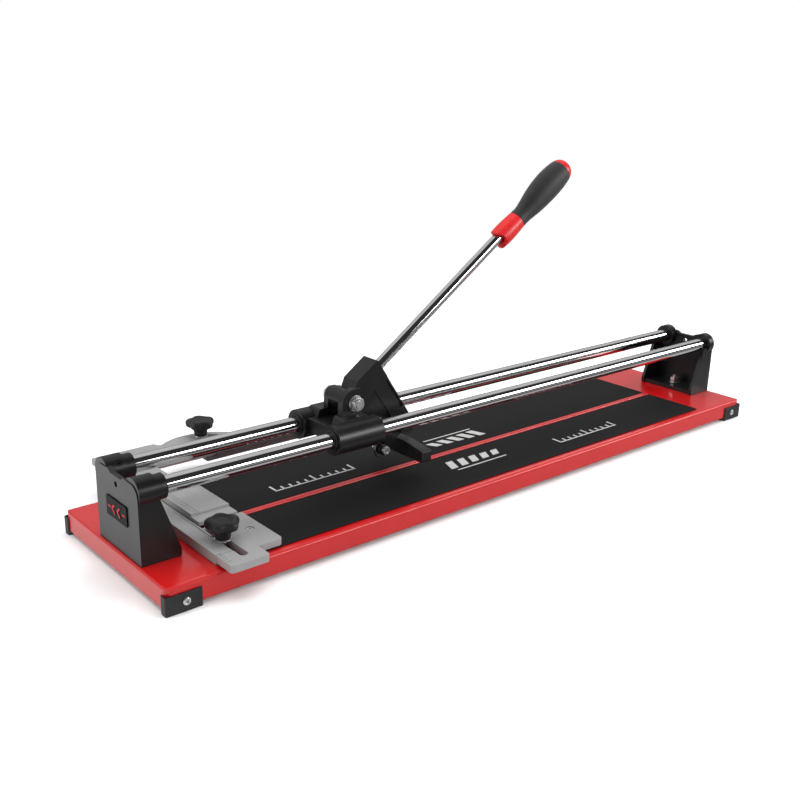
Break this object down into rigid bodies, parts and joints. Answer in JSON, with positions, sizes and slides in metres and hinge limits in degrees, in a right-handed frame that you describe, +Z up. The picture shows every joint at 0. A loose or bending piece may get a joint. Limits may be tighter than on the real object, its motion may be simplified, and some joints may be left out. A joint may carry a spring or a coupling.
{
  "type": "manual tile cutter",
  "caption": "Manual ceramic tile cutter with a folded red bed, twin guide rods, a sliding scoring carriage with breaking lever, a front stop and a rear mitre fence.",
  "frame": {"origin": "centre of the bounding box, on the surface the feet stand on", "axes": "+X along the bed towards the end the lever points to, +Y to the rear fence side, +Z up"},
  "size_m": [1.034, 0.3638, 0.4123],
  "materials": {
    "red_paint": "glossy red powder coat",
    "black_casting": "satin black stove enamel on cast iron",
    "grey_paint": "satin grey paint",
    "black_mat": "fine matt rubber",
    "chrome": "polished hard chrome",
    "bright_steel": "bright zinc plate",
    "cast_aluminium": "bead-blasted casting",
    "black_plastic": "moulded satin plastic",
    "black_rubber": "soft-touch moulded rubber",
    "red_plastic": "moulded red plastic",
    "carbide": "ground carbide"
  },
  "bodies": {
    "frame": {"bed_tray": "red_paint", "breaking_rib": "red_paint", "front_mat": "black_mat", "rear_mat": "black_mat", "front_left_foot": "black_plastic", "front_left_foot_rivet": "bright_steel", "front_right_foot": "black_plastic", "front_right_foot_rivet": "bright_steel", "rear_left_foot": "black_plastic", "rear_left_foot_rivet": "bright_steel", "rear_right_foot": "black_plastic", "rear_right_foot_rivet": "bright_steel", "left_bracket": "black_casting", "left_bracket_washers": "bright_steel", "left_bracket_screw": "bright_steel", "left_front_set_screw": "bright_steel", "left_rear_set_screw": "bright_steel", "right_bracket": "black_casting", "right_bracket_washers": "bright_steel", "right_bracket_screw": "bright_steel", "right_front_set_screw": "bright_steel", "right_rear_set_screw": "bright_steel", "front_rod": "chrome", "rear_rod": "chrome", "end_badge": "black_plastic", "stop_rail": "cast_aluminium", "scale_block": "cast_aluminium", "front_knob_washer": "bright_steel", "front_stud": "bright_steel", "mitre_plate": "cast_aluminium", "plate_screw_1": "bright_steel", "plate_screw_2": "bright_steel", "mitre_pivot_pin": "bright_steel"},
    "carriage": {"carriage_body": "black_casting", "front_left_bush": "black_plastic", "front_right_bush": "black_plastic", "rear_left_bush": "black_plastic", "rear_right_bush": "black_plastic", "pivot_bolt": "bright_steel", "pivot_washer": "bright_steel", "pivot_nut": "bright_steel"},
    "lever": {"lever_head": "black_casting", "breaker_bar": "black_casting", "wheel_axle_screw": "bright_steel", "wheel_axle_nut": "bright_steel", "lever_rod": "chrome", "grip_ferrule": "red_plastic", "rubber_grip": "black_rubber", "grip_cap": "red_plastic"},
    "wheel": {"scoring_wheel": "carbide"},
    "front_stop": {"stop_slide": "cast_aluminium", "stop_jaw": "cast_aluminium", "jaw_screw": "bright_steel"},
    "front_clamp": {"front_knob": "black_plastic"},
    "mitre_fence": {"mitre_arm": "grey_paint", "rear_stud": "bright_steel", "rear_knob_washer": "bright_steel"},
    "rear_clamp": {"rear_knob": "black_plastic"}
  },
  "joints": [
    {"name": "carriage_slide", "type": "slide", "parent": "frame", "child": "carriage", "axis": [1, 0, 0], "range_m": [-0.195, 0.56]},
    {"name": "lever_pivot", "type": "hinge", "parent": "carriage", "child": "lever", "pos_m": [-0.212, -0.05835, 0.1435], "axis": [0, -1, 0], "range_deg": [-12, 12]},
    {"name": "wheel_spin", "type": "hinge", "parent": "lever", "child": "wheel", "pos_m": [-0.15082, -0.05835, 0.06427], "axis": [0, 1, 0], "continuous": true},
    {"name": "front_stop_slide", "type": "slide", "parent": "frame", "child": "front_stop", "axis": [0, 1, 0], "range_m": [-0.031, 0]},
    {"name": "front_knob_turn", "type": "hinge", "parent": "frame", "child": "front_clamp", "pos_m": [-0.4225, -0.12185, 0.05], "axis": [0, 0, 1], "continuous": true},
    {"name": "mitre_swing", "type": "hinge", "parent": "frame", "child": "mitre_fence", "pos_m": [-0.303, 0.11215, 0.035], "axis": [0, 0, 1], "range_deg": [-45, 0]},
    {"name": "rear_knob_turn", "type": "hinge", "parent": "mitre_fence", "child": "rear_clamp", "pos_m": [-0.2875, 0.16283, 0.05], "axis": [0, 0, 1], "continuous": true}
  ]
}
